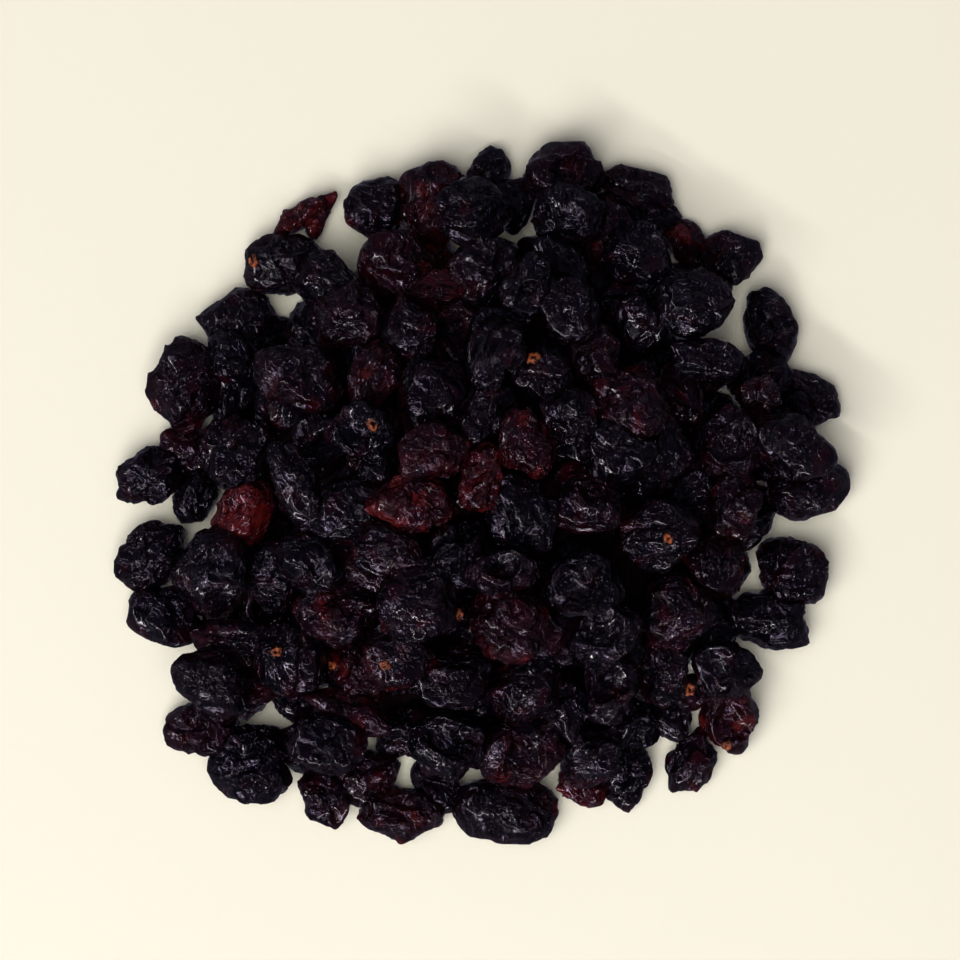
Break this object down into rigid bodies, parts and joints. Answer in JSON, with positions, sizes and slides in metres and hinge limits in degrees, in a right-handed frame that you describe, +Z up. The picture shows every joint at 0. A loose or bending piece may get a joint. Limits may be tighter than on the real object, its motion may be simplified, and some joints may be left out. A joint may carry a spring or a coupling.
{
  "type": "heap of dried cranberries",
  "caption": "Loose round heap of whole dried cranberries, wrinkled and near-black purple with a few red ones, lying on a flat surface.",
  "frame": {"origin": "middle of the heap's outline, on the surface that it lies on", "axes": "+Z up, +Y towards the picture's upper edge, +X towards its right edge"},
  "size_m": [0.1224, 0.1168, 0.0273],
  "materials": {
    "dried_skin": "wrinkled fruit skin with a soft shine"
  },
  "bodies": {
    "root": {"cranberry_heap": "dried_skin"}
  },
  "joints": []
}
